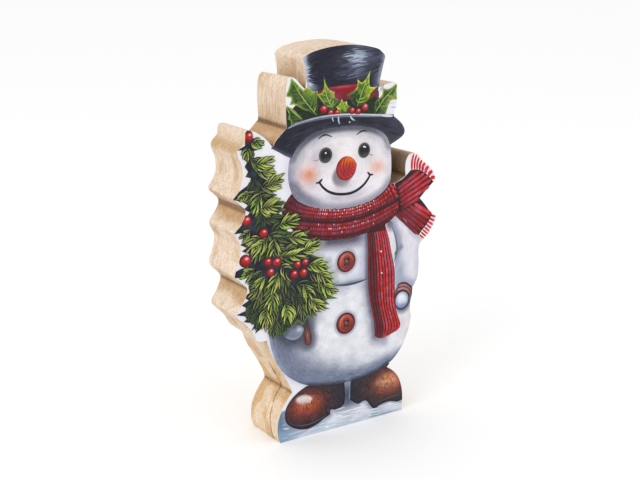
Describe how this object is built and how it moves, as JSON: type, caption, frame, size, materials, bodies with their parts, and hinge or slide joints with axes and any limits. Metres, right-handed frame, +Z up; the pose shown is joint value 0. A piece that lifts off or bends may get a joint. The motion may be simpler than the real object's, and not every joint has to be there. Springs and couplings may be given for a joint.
{
  "type": "wooden snowman figure",
  "caption": "Free-standing wooden snowman: a thick sawn board whose glossy enamelled front shows a snowman with a top hat, scarf and small spruce.",
  "frame": {"origin": "middle of the whole figure's width and depth, on the plane that the base rests on", "axes": "+Z up, the picture faces -Y, +X to the right of someone looking at the picture"},
  "size_m": [0.183, 0.0414, 0.3],
  "materials": {
    "wood": "sanded, unpainted, waxed",
    "ground_white": "gloss enamel",
    "enamel_white": "gloss enamel",
    "enamel_blue_grey": "gloss enamel",
    "enamel_navy": "gloss enamel",
    "enamel_charcoal": "gloss enamel",
    "enamel_maroon": "gloss enamel",
    "enamel_scarf_red": "gloss enamel",
    "enamel_fringe": "gloss enamel",
    "enamel_button": "gloss enamel",
    "enamel_black": "gloss enamel",
    "enamel_orange": "gloss enamel",
    "enamel_spruce": "gloss enamel",
    "enamel_holly": "gloss enamel",
    "enamel_berry": "gloss enamel",
    "enamel_brown": "gloss enamel"
  },
  "bodies": {
    "root": {"wood_block": "wood", "ground_film": "ground_white", "snow_base": "enamel_white", "boot_left": "enamel_brown", "boot_right": "enamel_brown", "body_lower": "enamel_white", "body_upper": "enamel_white", "arm_right": "enamel_white", "cuff_right": "enamel_brown", "hand_right": "enamel_blue_grey", "button_upper": "enamel_button", "button_lower": "enamel_button", "scarf_end_lower": "enamel_scarf_red", "scarf_end_upper": "enamel_scarf_red", "scarf_fringe_lower": "enamel_fringe", "scarf_fringe_upper": "enamel_fringe", "scarf_tail": "enamel_scarf_red", "scarf_wrap": "enamel_scarf_red", "hat_crown": "enamel_navy", "hat_band": "enamel_maroon", "hat_brim": "enamel_charcoal", "head": "enamel_white", "eye_left": "enamel_black", "eye_right": "enamel_black", "eyebrows": "enamel_black", "nose": "enamel_orange", "smile": "enamel_black", "tree": "enamel_spruce", "tree_trunk": "enamel_brown", "hand_left": "enamel_blue_grey", "tree_berries": "enamel_berry", "holly_backing": "enamel_holly", "hat_berries": "enamel_berry", "holly_leaf_1": "enamel_holly", "holly_leaf_2": "enamel_holly", "holly_leaf_3": "enamel_holly", "holly_leaf_4": "enamel_holly", "holly_leaf_5": "enamel_holly", "holly_leaf_6": "enamel_holly"}
  },
  "joints": []
}
